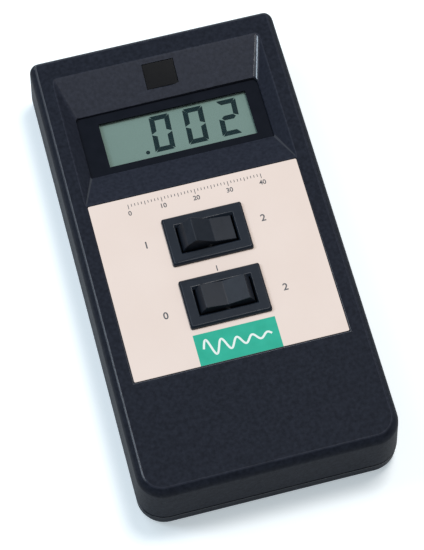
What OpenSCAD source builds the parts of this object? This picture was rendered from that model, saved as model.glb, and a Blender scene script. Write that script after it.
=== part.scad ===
// Handheld vibration meter: two case shells, a numeric liquid-crystal display in a sloped
// recess, two rocker switches on a thin face label, a nine-volt battery behind a sliding
// door, a circuit board and a threaded sensor jack on the display end. Millimetres.
// +X is the case's right, +Y points to its display end and +Z out of its front.
// The origin is the middle of the flat rear face.

/* [Case] */
// Width of the front face between its ridges
face_w = 72; // [71:0.5:80]
// Length of the front face between its ridges
face_l = 140; // [138:1:150]
// Thickness of the closed case
case_t = 24.5; // [24:0.5:28]
// Height of the rear shell, up to the parting line
rear_h = 7.2; // [6.8:0.1:7.8]
// Thickness of the front wall
front_wall = 2.2; // [1.8:0.1:2.6]
// Thickness of the rear wall
rear_wall = 2; // [1.8:0.1:2.4]
// Thickness of the side walls
side_wall = 2.2; // [1.8:0.1:2.4]
// How far the rim flares out beyond the front ridge
flare_out = 1.8; // [1.4:0.1:2.4]
// How far below the ridge the flare ends
flare_drop = 1.9; // [1.2:0.1:2.6]
// How much further out the wall leans by the parting line
wall_lean = 0.6; // [0.3:0.1:1]
// Corner radius of the front face at the battery end
toe_r = 5.8; // [4:0.2:7]
// Corner radius of the front face at the display end
head_r = 1; // [0.8:0.1:2]
// Radius round the edge of the rear face
rear_edge_r = 2.5; // [1.5:0.1:3]
// Width of the groove along the parting line
groove_w = 0.9; // [0.5:0.1:1.2]
// Depth of the groove along the parting line
groove_d = 0.6; // [0.3:0.1:0.8]

/* [Display recess] */
// Distance from a side ridge to the recess
recess_in = 4.1; // [3:0.1:5]
// Distance from the upper end ridge to the recess
recess_end = 6; // [4.5:0.1:7]
// Depth of the four slopes
recess_d = 4.2; // [3.6:0.1:4.6]
// Run of the recess's side slopes
slope_side = 3.9; // [3.4:0.1:4.4]
// Run of the recess's upper slope
slope_head = 12.5; // [11.5:0.1:13.5]
// Run of the recess's lower slope
slope_foot = 10.55; // [9.5:0.05:11.5]
// Height of the well at the foot of the slopes
well_h = 20.6; // [20:0.1:21.4]
// How far the display sits to the right of the middle
display_x = 0.6; // [0:0.1:1]
// Width of the dark frame on each side of the display
window_in = 5.55; // [5:0.05:6.5]
// Height of the visible display
window_h = 14.5; // [13.5:0.1:15.5]
// Width of the dark square in the upper slope
square_w = 9.8; // [8:0.2:12]
// Height of the dark square, along the slope
square_h = 7.9; // [6:0.1:9]

/* [Face label] */
// Distance from a side ridge to the label
label_in = 4.5; // [4:0.1:6]
// Distance from the lower end ridge to the label
label_end = 32.65; // [32:0.05:34]
// Thickness of the label
label_t = 0.3; // [0.2:0.05:0.4]

/* [Switches] */
// Width of a switch's rim
rim_w = 24; // [23.4:0.1:25]
// Height of a switch's rim, across the label
rim_l = 15.4; // [14.8:0.1:16]
// How far the rim stands above the label
rim_t = 1.4; // [1:0.1:1.8]
// Distance between the two switches
switch_pitch = 20.4; // [19:0.1:22]
// Distance from the label's upper edge to the middle of the upper switch
upper_switch = 17.55; // [17:0.05:18.5]
// Half-width of a rocker across its two top edges
rocker_half = 6.45; // [6:0.05:6.8]
// Height of a rocker's top edges above its pivot
rocker_top = 4.9; // [4.5:0.1:5.4]
// How far the rocker's middle dips below its top edges
rocker_dip = 1.3; // [0.8:0.1:1.6]
// Angle of a rocker to each side
rocker_throw = 22; // [14:1:22]
// How far a rocker's plunger reaches below its pivot
plunger_tip = 7.8; // [7.6:0.1:8.4]

/* [Power] */
// Spare length beside the battery and its connector
battery_spare = 1.9; // [1.6:0.1:2.4]
// Width of the battery
battery_w = 26.5; // [26:0.1:26.8]
// Thickness of the foam pad over the battery
pad_h = 2.7; // [2.4:0.1:3.4]
// How much longer the door is than the battery is wide
door_more = 8.1; // [7.6:0.1:8.6]

/* [Circuit board] */
// Distance from a side ridge to the board's edge
board_in = 4; // [3.4:0.1:5]
// Thickness of the circuit board
board_t = 1.6; // [1.2:0.1:1.8]

/* [Sensor jack] */
// Radius of the jack's mating thread
jack_r = 2.4; // [2.2:0.05:2.6]
// Length of the mating thread beyond the jack's flange
jack_l = 2.8; // [2:0.1:4]
// Land between the parting line and the jack's flat
jack_land = 0.1; // [0.1:0.1:0.6]

/* [Hidden] */
$fn = 64;

// Overrun of every cut past the face that it opens
over = 0.5;
// Gap between pieces that only lie beside each other
gap = 0.1;
// Running clearance, on the radius, of pivots and rotors
run_gap = 0.05;
// Clearance, on the radius, round a piece that is pushed in
push_gap = 0.02;
// Least corner radius of a slab
least_r = 0.5;

// Levels and growths of the case
rear_lean = 0.2;
rear_steps = 3;
flare_z = case_t - flare_drop;
ceiling_z = case_t - front_wall;
full_grow = flare_out + wall_lean;
rear_foot_grow = full_grow - rear_lean;
end_y = face_l / 2 + full_grow;
function wall_grow(z) = flare_out + wall_lean * (flare_z - z) / (flare_z - rear_h);

// Lip of the rear shell inside the front shell
lip_h = 1.6;
lip_t = 1;
lip_root = 1;
lip_grow = wall_grow(rear_h + lip_h) - side_wall - gap;
lip_boss_gap = 0.5;
inner_grow = full_grow - side_wall;

// Screws that close the case, and the brass inserts that they enter
screw_in_x = 3.8;
screw_in_head = 4.7;
screw_in_toe = 7;
screw_x = face_w / 2 - screw_in_x;
screw_head_y = face_l / 2 - screw_in_head;
screw_toe_y = screw_in_toe - face_l / 2;
screw_boss_r = 3.2;
rear_boss_r = 4.2;
boss_web = 1.6;
screw_head_r = 2.7;
screw_head_h = 2;
screw_sink = 1;
screw_r = 1.2;
screw_hole_r = 1.7;
sink_gap = 0.35;
insert_r = 2;
insert_l = 6;
screw_past = 2.5;
screw_room = 5;
drive_w = 0.8;
drive_l = 3.6;
drive_d = 0.9;

// Label and its pocket
pocket_gap = 0.2;
label_land = 0.4;
label_w = face_w - 2 * label_in;

// Recess, its wall and the tail that holds the display
recess_wall = 1.6;
bezel_lip = 0.8;
bezel_side = 0.8;
tail_wall = 1.4;
tail_l = 3.4;
well_z = case_t - recess_d;
bezel_z = well_z - bezel_lip;
tail_z = bezel_z - tail_l;
recess_w = face_w - 2 * recess_in;
well_w = recess_w - 2 * slope_side;
window_w = well_w - 2 * window_in;
recess_top_y = face_l / 2 - recess_end;
well_top_y = recess_top_y - slope_head;
well_foot_y = well_top_y - well_h;
recess_foot_y = well_foot_y - slope_foot;
display_y = (well_top_y + well_foot_y) / 2;
label_top_y = recess_foot_y - label_land - pocket_gap;
label_foot_y = label_end - face_l / 2;
label_h = label_top_y - label_foot_y;
label_y = (label_top_y + label_foot_y) / 2;
mode_y = label_top_y - upper_switch;
power_y = mode_y - switch_pitch;
bezel_w = well_w + 2 * bezel_side;
bezel_h = well_h + 2 * bezel_side;

// Display stack, from the front to the board
bezel_face_t = 0.6;
lens_t = 0.8;
lens_over = 3;
lens_in = 0.85;
glass_t = 1.1;
glass_over = 2.95;
glass_w = window_w + 2 * glass_over;
glass_h = bezel_h - 2 * gap;
lens_h = bezel_h - 2 * lens_in;
ledge_h = 2.2;
reflector_t = 0.25;
strip_t = 1.6;
strip_end = 1.8;
strip_l = 4.3;
cheek_l = 15;
lens_z = bezel_z - bezel_face_t - lens_t;
front_glass_z = lens_z - gap / 2 - glass_t;
rear_glass_z = front_glass_z - glass_t;
reflector_z = rear_glass_z - reflector_t;
board_z = front_glass_z - strip_l;
board_foot_z = board_z - board_t;

// Dark square in the upper slope
square_rise = 1.1;
square_sink = 0.9;
square_t = 0.6;
slope_run = recess_top_y - well_top_y;
slope_angle = atan(recess_d / slope_run);
slope_mid_y = (recess_top_y + well_top_y) / 2;
slope_mid_z = case_t - recess_d / 2;

// Switch body, measured from the label's face
body_w = 21.6;
body_l = 13;
panel_gap = 0.1;
rim_edge = 0.5;
flare_w = 0.3;
flare_l = 0.7;
flare_d = 0.8;
cavity_l = 8.3;
floor_t = 3.5;
pivot_below = 2.1;
snap_out = 0.7;
snap_h = 1.8;
snap_l = 4;
pivot_z = case_t + rim_t - pivot_below;

// Rocker, measured from its pivot
shoulder_half = 7.9;
skirt_r = 8.2;
skirt_drop = 2;
side_gap = 0.3;
pin_r = 1;
pin_half = 5.6;
plunger_boss_r = 2.3;
plunger_boss_low = 4.4;
plunger_bore_r = 1.35;
plunger_bore_top = 1.45;
plunger_r = 1.25;
plunger_top = 3.5;
spring_wire_r = 0.14;
spring_r = 0.95;
spring_turns = 4;
spring_rings = 10;
spring_sides = 6;
rocker_l = cavity_l - 2 * side_gap;
cavity_w = 2 * (skirt_r + side_gap);

// Contact arm and terminals
arm_lift = 1.3;
arm_half = 6.8;
arm_t = 0.5;
arm_l = 3;
arm_rise = 1.7;
tip_gap = 0.2;
fulcrum_r = 0.4;
arm_share = -8 / 22;
pad_r = 1;
pad_t = 0.35;
lug_x = 6;
lug_t = 0.8;
lug_l = 3.2;
lug_fit = 0.05;
lug_room = 4;
lug_eye_r = 0.6;
stud_h = 0.6;
stud_rise = 0.1;
arm_z = pivot_z - plunger_tip - tip_gap - arm_t;
cavity_d = case_t - arm_z + arm_lift;
body_d = cavity_d + floor_t;
stud_z = arm_z + stud_rise;
lug_foot_z = rear_wall + lug_room;

// Battery, its bay and its door
terminal_h = 2.1;
terminal_y = 6.35;
male_r = 2.9;
female_r = 4;
female_bore_r = 3.1;
plate_t = 2.4;
plate_in = 1.5;
plate_w = battery_w - plate_in;
plate_h = 13;
bay_gap = 0.7;
bay_wall = 1.4;
bay_boss_gap = 0.5;
rail_wall = 2.2;
rail_gap = 0.2;
pad_inset = 6;
door_margin = 0.8;
door_fit = 0.2;
door_flange = 1.2;
door_land = 0.95;
door_face_t = 0.9;
grip_ribs = 6;
grip_w = 22;
grip_pitch = 2.4;
grip_groove = 1.1;
grip_d = 0.4;
door_t = rear_wall - gap;
door_w = 2 * (screw_x - screw_head_r - sink_gap - door_land - door_flange - door_fit);
door_top_y = battery_w + door_more - end_y;
battery_left = screw_x - screw_boss_r - bay_boss_gap - bay_wall - bay_gap;
battery_l = 2 * battery_left - battery_spare - terminal_h - plate_t;
battery_t = ceiling_z - rear_wall - gap - pad_h;
battery_x = -battery_left;
battery_y = door_top_y - door_margin - bay_gap - battery_w / 2;
battery_z = rear_wall + gap;
terminal_x = battery_x + battery_l;
plate_x = terminal_x + terminal_h;
bay_left = battery_x - bay_gap;
bay_right = plate_x + plate_t + bay_gap;
bay_top_y = battery_y + battery_w / 2 + bay_gap;
bay_low_y = side_wall / 2 - end_y;
bay_l = bay_top_y - bay_low_y;
bay_y = (bay_top_y + bay_low_y) / 2;
bay_rib_z = rear_h + lip_h + gap;
rail_x = door_w / 2 + door_fit + rail_gap + rail_wall / 2;

// Insulated leads
lead_r = 0.6;
lead_space = 0.2;
notch_w = 6;
notch_h = 3;
thin_lead_r = 0.5;
lead_side = 2.5;
lead_x = plate_x + plate_t / 2;
lead_z = board_z + lead_r;
low_run_z = rear_wall + gap + thin_lead_r;
high_run_z = low_run_z + 2 * thin_lead_r + gap;

// Board, its posts and what hangs under it
board_switch_gap = 3.3;
board_top_gap = 4.3;
post_r = 3;
post_bore_r = 1.15;
post_in = 3.5;
post_in_head = 3.2;
board_hole_r = 1.4;
board_screw_r = 1.1;
board_screw_l = 5.5;
board_screw_room = 6;
board_screw_head_r = 2.3;
board_screw_head_h = 1.5;
board_drive_l = 3.1;
standoff = 0.5;
chip_t = 3.6;
pin_pitch = 2.54;
pin_w = 0.5;
pin_t = 0.25;
pin_out = 0.9;
chip_end = 1.9;
dimple_r = 1.1;
converter_pairs = 20;
converter_w = 13.7;
converter_gap = 0.55;
amplifier_pairs = 7;
amplifier_w = 6.4;
amplifier_x = 17.5;
amplifier_gap = 0.8;
film_in = 11;
film_gap = 1.7;
film_w = 7.2;
film_l = 2.6;
film_room = 2.65;
can_in = 3.8;
can_up = 9;
can_r = 2.6;
can_room = 1.65;
can_bead = 0.25;
can_bead_h = 0.8;
resistor_shares = [0.592, 0.796, 1];
resistor_in = 7.5;
resistor_up = 5.4;
resistor_r = 1.15;
resistor_l = 5.6;
resistor_span = 8;
wire_r = 0.3;
resistor_drop = 1.5;
trimmer_x = 4.2;
trimmer_gap = 0.45;
trimmer_w = 6.8;
trimmer_h = 4.4;
rotor_r = 2.1;
rotor_h = 1.8;
rotor_slot_w = 0.6;
rotor_slot_d = 0.7;
board_w = face_w - 2 * board_in;
post_x = board_w / 2 - post_in;
film_pitch = board_w / 2 - film_in;
can_x = board_w / 2 - can_in;
resistor_far = board_w / 2 - resistor_in;
film_h = board_foot_z - rear_wall - film_room;
can_h = board_foot_z - rear_wall - can_room;
board_low_y = mode_y + body_l / 2 + board_switch_gap;
post_low_y = board_low_y + post_in;
resistor_y = board_low_y + resistor_up;
converter_y = resistor_y + resistor_span / 2 + wire_r + converter_gap + converter_w / 2 + pin_out;
trimmer_y = converter_y + converter_w / 2 + pin_out + trimmer_gap + trimmer_w / 2;
can_y = converter_y + can_up;
amplifier_y = can_y + can_r + amplifier_gap + amplifier_w / 2 + pin_out;
film_y = amplifier_y + amplifier_w / 2 + pin_out + film_gap + film_l / 2;
board_top_y = film_y + film_l / 2 + board_top_gap;
post_top_y = board_top_y - post_in_head;

// Sensor jack in the display end
spot_d = 0.45;
spot_r = 5.2;
jack_flange_r = 4.2;
jack_flange_t = 1.3;
jack_body_r = 2.9;
jack_rear = 9;
jack_bore_r = 1.6;
jack_bore_d = 3.4;
jack_nut_r = 4.6;
jack_nut_t = 2;
jack_washer_r = 4.3;
jack_washer_t = 0.4;
jack_z = rear_h + spot_r + jack_land;
insulator_r = 1.25;
contact_r = 0.75;
contact_in = 0.6;
contact_out = 1.2;
contact_bore_r = 0.4;
contact_bore_d = 3;
flange_y = face_l / 2 + wall_grow(jack_z) - spot_d;
flange_face_y = flange_y + jack_flange_t;
jack_end_y = flange_face_y + jack_l;
jack_foot_y = flange_y - jack_rear;
inner_face_y = face_l / 2 + wall_grow(jack_z + spot_r) - side_wall;

case_colour = "#2b2e38";
slate = "#2a323d";
metal = "#b9bcc0";
brass = "#c9a24e";

// Plan outline of the case between two levels, grown by g0 below and g1 above, with corner
// radii rt and rh at the smaller of the two
module slab(z0, g0, z1, g1, rt, rh) {
    small = min(g0, g1);
    half_w = face_w / 2;
    half_l = face_l / 2;
    toe_x = half_w + small - rt;
    toe_y = half_l + small - rt;
    head_x = half_w + small - rh;
    head_y = half_l + small - rh;
    translate([0, head_y, 0]) rotate([90, 0, 0]) linear_extrude(head_y + toe_y)
        polygon([[-half_w - g0, z0], [half_w + g0, z0], [half_w + g1, z1], [-half_w - g1, z1]]);
    translate([-head_x, 0, 0]) rotate([90, 0, 90]) linear_extrude(2 * head_x)
        polygon([[0, z0], [half_l + g0, z0], [half_l + g1, z1], [0, z1]]);
    translate([-toe_x, 0, 0]) rotate([90, 0, 90]) linear_extrude(2 * toe_x)
        polygon([[-half_l - g0, z0], [0, z0], [0, z1], [-half_l - g1, z1]]);
    for (side = [-1, 1]) {
        translate([side * head_x, head_y, z0])
            cylinder(h = z1 - z0, r1 = rh + g0 - small, r2 = rh + g1 - small);
        translate([side * toe_x, -toe_y, z0])
            cylinder(h = z1 - z0, r1 = rt + g0 - small, r2 = rt + g1 - small);
    }
}

// Slab whose corners keep the case's own corner centres
module shell(z0, g0, z1, g1) {
    slab(z0, g0, z1, g1, max(toe_r + min(g0, g1), least_r), max(head_r + min(g0, g1), least_r));
}

// Box centred on x and y
module block(x, y, z0, w, l, h) {
    translate([x - w / 2, y - l / 2, z0]) cube([w, l, h]);
}

// Box between two opposite corners
module span(low, high) {
    translate(low) cube(high - low);
}

// Round or flat-sided rod along Y
module rod_y(x, z, y0, y1, r, sides = 64) {
    translate([x, y1, z]) rotate([90, 0, 0]) cylinder(h = y1 - y0, r = r, $fn = sides);
}

// Round lead through a list of points
module lead(points, r) {
    for (i = [0 : len(points) - 2]) {
        d = points[i + 1] - points[i];
        translate(points[i]) rotate([0, acos(d.z / norm(d)), atan2(d.y, d.x)]) cylinder(h = norm(d), r = r);
    }
    for (i = [1 : len(points) - 2]) translate(points[i]) sphere(r = r);
}

// Places of the four case screws
module at_screws() {
    for (side = [-1, 1], y = [screw_toe_y, screw_head_y]) translate([side * screw_x, y, 0]) children();
}

// Places of the four board screws
module at_posts() {
    for (side = [-1, 1], y = [post_low_y, post_top_y]) translate([side * post_x, y, 0]) children();
}

// Sloped recess grown by g, from top down to low, with upright walls below its slopes
module funnel(g, top, low) {
    half_w = recess_w / 2 + g;
    well = well_w / 2 + g;
    up = recess_top_y + g;
    down = recess_foot_y - g;
    intersection() {
        translate([0, up, 0]) rotate([90, 0, 0]) linear_extrude(up - down)
            polygon([[-well, low], [well, low], [well, well_z - g], [half_w, case_t - g],
                [half_w, top], [-half_w, top], [-half_w, case_t - g], [-well, well_z - g]]);
        translate([-half_w, 0, 0]) rotate([90, 0, 90]) linear_extrude(2 * half_w)
            polygon([[well_foot_y - g, low], [well_top_y + g, low], [well_top_y + g, well_z - g],
                [up, case_t - g], [up, top], [down, top], [down, case_t - g],
                [well_foot_y - g, well_z - g]]);
    }
}

// Frame lying on the upper slope, at the middle of the dark square
module on_slope() {
    translate([0, slope_mid_y, slope_mid_z]) rotate([slope_angle, 0, 0])
        translate([0, square_rise, 0]) children();
}

// Outside of the front shell, hollowed
module front_shell() {
    difference() {
        union() {
            shell(flare_z, flare_out, case_t, 0);
            shell(rear_h, full_grow, flare_z, flare_out);
        }
        shell(rear_h - over, inner_grow, ceiling_z, flare_out - side_wall);
    }
}

module front_case() color(case_colour) difference() {
    union() {
        front_shell();
        funnel(recess_wall, case_t - front_wall / 2, bezel_z);
        block(0, display_y, tail_z, bezel_w + 2 * (gap + tail_wall), bezel_h + 2 * (gap + tail_wall),
            well_z - tail_z);
        at_screws() translate([0, 0, rear_h]) cylinder(h = ceiling_z - rear_h + over, r = screw_boss_r);
        for (side = [-1, 1], y = [screw_toe_y, screw_head_y])
            block(side * (face_w / 2 - screw_in_x / 2), y, bay_rib_z, screw_in_x + over, boss_web,
                ceiling_z - bay_rib_z + over);
        at_posts() translate([0, 0, board_z]) cylinder(h = ceiling_z - board_z + over, r = post_r);
        for (x = [bay_left - bay_wall / 2, bay_right + bay_wall / 2])
            block(x, bay_y, bay_rib_z, bay_wall, bay_l, ceiling_z - bay_rib_z + over);
        block((bay_left + bay_right) / 2, bay_top_y + bay_wall / 2, bay_rib_z,
            bay_right - bay_left + 2 * bay_wall, bay_wall, ceiling_z - bay_rib_z + over);
        rod_y(0, jack_z, inner_face_y, inner_face_y + side_wall / 2, spot_r);
    }
    funnel(0, case_t + over, bezel_z - over);
    block(0, display_y, tail_z - over, bezel_w + 2 * gap, bezel_h + 2 * gap, tail_l + over);
    on_slope() block(0, 0, -square_sink, square_w, square_h, square_sink + over);
    block(0, label_y, case_t - label_t, label_w + 2 * pocket_gap, label_h + 2 * pocket_gap, label_t + over);
    for (y = [mode_y, power_y])
        block(0, y, ceiling_z - over, body_w + 2 * panel_gap, body_l + 2 * panel_gap, front_wall + 2 * over);
    at_screws() translate([0, 0, rear_h - over]) cylinder(h = insert_l + over, r = insert_r);
    at_screws() translate([0, 0, rear_h]) cylinder(h = insert_l + screw_room, r = screw_r + gap);
    at_posts() translate([0, 0, board_z - over]) cylinder(h = board_screw_room + over, r = post_bore_r);
    span([lead_x - notch_w / 2, bay_top_y - over, bay_rib_z - over],
        [lead_x + notch_w / 2, bay_top_y + bay_wall + over, lead_z + notch_h]);
    rod_y(0, jack_z, inner_face_y - over, end_y + over, jack_body_r + gap);
    rod_y(0, jack_z, flange_y, end_y + over, spot_r);
}

// Rounded edge of the rear face, in straight steps along a quarter circle
module rear_edge() {
    for (i = [0 : rear_steps - 1]) {
        a = 90 * i / rear_steps;
        b = 90 * (i + 1) / rear_steps;
        shell(rear_edge_r * (1 - cos(a)), rear_foot_grow - rear_edge_r * (1 - sin(a)),
            rear_edge_r * (1 - cos(b)), rear_foot_grow - rear_edge_r * (1 - sin(b)));
    }
}

// Lip that stands inside the front shell
module rear_lip() {
    difference() {
        union() {
            shell(rear_h - lip_root, inner_grow + lip_root / 2, rear_h, inner_grow + lip_root / 2);
            shell(rear_h - lip_root, lip_grow, rear_h + lip_h, lip_grow);
        }
        shell(rear_h - lip_root - over, lip_grow - lip_t, rear_h + lip_h + over, lip_grow - lip_t);
        at_screws() cylinder(h = case_t, r = screw_boss_r + lip_boss_gap);
        block(0, end_y, rear_h, 2 * (spot_r + bay_gap), 4 * spot_r, lip_h + over);
    }
}

// Rails round the battery, which end inside the lip and pass the front shell's bosses
module bay_rails() {
    difference() {
        intersection() {
            union() {
                for (side = [-1, 1]) block(side * rail_x, bay_y, rear_wall / 2, rail_wall, bay_l,
                    bay_rib_z - gap - rear_wall / 2);
                block(0, bay_top_y + bay_wall / 2, rear_wall / 2, 2 * rail_x, bay_wall,
                    bay_rib_z - gap - rear_wall / 2);
            }
            union() {
                shell(0, inner_grow + lip_root / 2, rear_h, inner_grow + lip_root / 2);
                shell(0, lip_grow - lip_t / 2, bay_rib_z, lip_grow - lip_t / 2);
            }
        }
        at_screws() translate([0, 0, rear_h]) cylinder(h = case_t, r = screw_boss_r + lip_boss_gap);
    }
}

module rear_case() color(case_colour) difference() {
    union() {
        difference() {
            union() {
                shell(rear_h - groove_w, full_grow - groove_d, rear_h, full_grow - groove_d);
                shell(rear_edge_r, rear_foot_grow, rear_h - groove_w, full_grow);
                rear_edge();
            }
            shell(rear_wall, inner_grow, rear_h + over, inner_grow);
        }
        rear_lip();
        at_screws() cylinder(h = rear_h, r = rear_boss_r);
        bay_rails();
    }
    at_screws() translate([0, 0, -over])
        cylinder(h = screw_sink + screw_head_h + over, r = screw_head_r + sink_gap);
    at_screws() translate([0, 0, -over]) cylinder(h = rear_h + 2 * over, r = screw_hole_r);
    span([-door_w / 2 - door_fit, -end_y - over, -over], [door_w / 2 + door_fit, door_top_y, rear_wall]);
    span([-door_w / 2 - door_flange - door_fit, -end_y - over, door_face_t - gap],
        [door_w / 2 + door_flange + door_fit, door_top_y, rear_wall]);
}

module battery_door() color(case_colour) difference() {
    intersection() {
        union() {
            span([-door_w / 2, -end_y - over, -over], [door_w / 2, door_top_y - door_fit, door_t]);
            span([-door_w / 2 - door_flange, -end_y - over, door_face_t],
                [door_w / 2 + door_flange, door_top_y - door_fit, door_t]);
        }
        rear_edge();
    }
    for (i = [1 : grip_ribs])
        block(0, door_top_y - door_margin - i * grip_pitch, -over, grip_w, grip_groove, over + grip_d);
}

module case_screws() color(metal) at_screws() translate([0, 0, screw_sink]) difference() {
    union() {
        cylinder(h = screw_head_h, r = screw_head_r);
        cylinder(h = rear_h + insert_l + screw_past - screw_sink, r = screw_r);
    }
    for (turn = [0, 90]) rotate([0, 0, turn]) block(0, 0, -over, drive_l, drive_w, drive_d + over);
}

module threaded_inserts() color(brass) at_screws() translate([0, 0, rear_h]) difference() {
    cylinder(h = insert_l, r = insert_r);
    translate([0, 0, -over]) cylinder(h = insert_l + 2 * over, r = screw_r + run_gap);
}

module face_label() color("#eee2da") difference() {
    block(0, label_y, case_t - label_t, label_w, label_h, label_t);
    for (y = [mode_y, power_y])
        block(0, y, ceiling_z, body_w + 2 * panel_gap, body_l + 2 * panel_gap, front_wall + over);
}

module square_window() color("#101114") on_slope()
    block(0, 0, -square_sink, square_w - 2 * gap, square_h - 2 * gap, square_t);

module display_bezel() color("#17181b") difference() {
    union() {
        block(0, display_y, lens_z, bezel_w, bezel_h, bezel_z - lens_z);
        block(0, display_y, board_z + gap, bezel_w, cheek_l, bezel_z - board_z - gap);
    }
    block(display_x, display_y, board_z, glass_w + 2 * gap, bezel_h + 2 * over, lens_z - board_z);
    block(display_x, display_y, lens_z - over, window_w, window_h, bezel_z - lens_z + 2 * over);
    block(display_x, display_y, lens_z - over, window_w + 2 * lens_over, lens_h, lens_t + over);
}

module display_lens() color("#c9d6d2", 0.35)
    block(display_x, display_y, lens_z, window_w + 2 * (lens_over - gap), lens_h - 2 * gap, lens_t);

module lcd_front_glass() color("#8ea39a")
    block(display_x, display_y, front_glass_z, glass_w, glass_h, glass_t);

module lcd_rear_glass() color("#76928a")
    block(display_x, display_y, rear_glass_z, glass_w, glass_h - 2 * ledge_h, glass_t);

module lcd_reflector() color("#b5c2ba")
    block(display_x, display_y, reflector_z, glass_w - strip_end, glass_h - 2 * (ledge_h + gap),
        reflector_t);

module contact_strips() color("#d7cfd2") for (side = [-1, 1])
    block(display_x, display_y + side * (glass_h - ledge_h + gap) / 2, board_z, glass_w - 2 * strip_end,
        strip_t, strip_l);

module main_board() color("#1f6b3d") difference() {
    span([-board_w / 2, board_low_y, board_foot_z], [board_w / 2, board_top_y, board_z]);
    at_posts() translate([0, 0, board_foot_z - over]) cylinder(h = board_t + 2 * over, r = board_hole_r);
}

module board_screws() color(metal) at_posts() translate([0, 0, board_foot_z - board_screw_head_h])
    difference() {
        union() {
            cylinder(h = board_screw_head_h, r = board_screw_head_r);
            cylinder(h = board_screw_head_h + board_t + board_screw_l, r = board_screw_r);
        }
        for (turn = [0, 90]) rotate([0, 0, turn]) block(0, 0, -over, board_drive_l, drive_w, drive_d + over);
    }

// Plastic body of a dual-in-line chip hanging under the board
module chip_body(x, y, pairs, w) {
    l = (pairs - 1) * pin_pitch + 2 * chip_end;
    z = board_foot_z - standoff - chip_t;
    difference() {
        block(x, y, z, l, w, chip_t);
        translate([x - l / 2, y, z - over]) cylinder(h = over + pin_w, r = dimple_r);
    }
}

// Its bent metal pins, each up to the board
module chip_pins(x, y, pairs, w) {
    z = board_foot_z - standoff - chip_t / 2;
    out = w / 2 + pin_out;
    for (i = [0 : pairs - 1], turn = [0, 180])
        translate([x + (i - (pairs - 1) / 2) * pin_pitch, y, 0]) rotate([0, 0, turn]) {
            span([-pin_w / 2, w / 2, z - pin_t], [pin_w / 2, out, z]);
            span([-pin_w / 2, out - pin_t, z - pin_t], [pin_w / 2, out, board_foot_z]);
        }
}

module converter_chip() color("#1b1c1f") chip_body(0, converter_y, converter_pairs, converter_w);

module converter_pins() color(metal) chip_pins(0, converter_y, converter_pairs, converter_w);

module amplifier_chips() color("#1b1c1f") for (side = [-1, 1])
    chip_body(side * amplifier_x, amplifier_y, amplifier_pairs, amplifier_w);

module amplifier_pins() color(metal) for (side = [-1, 1])
    chip_pins(side * amplifier_x, amplifier_y, amplifier_pairs, amplifier_w);

module film_capacitors() color("#b5322b") for (x = [-film_pitch, 0, film_pitch])
    block(x, film_y, board_foot_z - film_h, film_w, film_l, film_h);

module electrolytic_capacitors() color("#2c3f63") for (side = [-1, 1])
    translate([side * can_x, can_y, board_foot_z - can_h]) {
        cylinder(h = can_h - can_bead_h, r = can_r);
        cylinder(h = can_h, r = can_r - can_bead);
    }

module resistors() color("#cdb38a") for (side = [-1, 1], share = resistor_shares) {
    x = side * resistor_far * share;
    z = board_foot_z - resistor_drop;
    low_y = resistor_y - resistor_span / 2;
    top_y = resistor_y + resistor_span / 2;
    rod_y(x, z, resistor_y - resistor_l / 2, resistor_y + resistor_l / 2, resistor_r);
    lead([[x, low_y, board_foot_z], [x, low_y, z], [x, top_y, z], [x, top_y, board_foot_z]], wire_r);
}

module trimmer_bodies() color("#2b5fa8") for (side = [-1, 1]) difference() {
    block(side * trimmer_x, trimmer_y, board_foot_z - trimmer_h, trimmer_w, trimmer_w, trimmer_h);
    translate([side * trimmer_x, trimmer_y, board_foot_z - trimmer_h - over])
        cylinder(h = rotor_h + over, r = rotor_r + run_gap);
}

// Slotted rotor of one trimmer, flush with its body
module trimmer_rotor(x) color(brass) translate([x, trimmer_y, board_foot_z - trimmer_h]) difference() {
    cylinder(h = rotor_h - gap, r = rotor_r);
    block(0, 0, -over, 2 * rotor_r + over, rotor_slot_w, rotor_slot_d + over);
}

module gain_rotor() trimmer_rotor(-trimmer_x);

module zero_rotor() trimmer_rotor(trimmer_x);

module battery_case() color("#3a3d42") span([battery_x, battery_y - battery_w / 2, battery_z],
    [terminal_x, battery_y + battery_w / 2, battery_z + battery_t]);

// Smaller and larger snap terminals, on one pair of axes
module snap_pair(h, stud_r, ring_bore_r) {
    translate([0, -terminal_y, 0]) cylinder(h = h, r = stud_r);
    translate([0, terminal_y, 0]) difference() {
        cylinder(h = h, r = female_r);
        translate([0, 0, -over]) cylinder(h = h + 2 * over, r = ring_bore_r);
    }
}

module battery_terminals() color(metal) translate([terminal_x, battery_y, battery_z + battery_t / 2])
    rotate([0, 90, 0]) snap_pair(terminal_h, male_r, female_bore_r);

module snap_studs() color(metal) translate([plate_x, battery_y, battery_z + battery_t / 2])
    rotate([180, 90, 0]) snap_pair(terminal_h - gap, female_bore_r - gap, male_r + gap);

module snap_connector() color("#1c1c1e") block(plate_x + plate_t / 2, battery_y,
    battery_z + (battery_t - plate_h) / 2, plate_t, plate_w, plate_h);

module battery_leads() color("#b3302c") for (side = [-1, 1]) {
    x = lead_x + side * (lead_r + lead_space);
    y = board_low_y + 2 * lead_r;
    lead([[x, battery_y + plate_w / 2, lead_z], [x, y, lead_z], [x, y, board_z]], lead_r);
}

module battery_pad() color("#3c3c40") block(battery_x + battery_l / 2, battery_y, battery_z + battery_t,
    battery_l - pad_inset, battery_w - pad_inset, pad_h);

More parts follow.
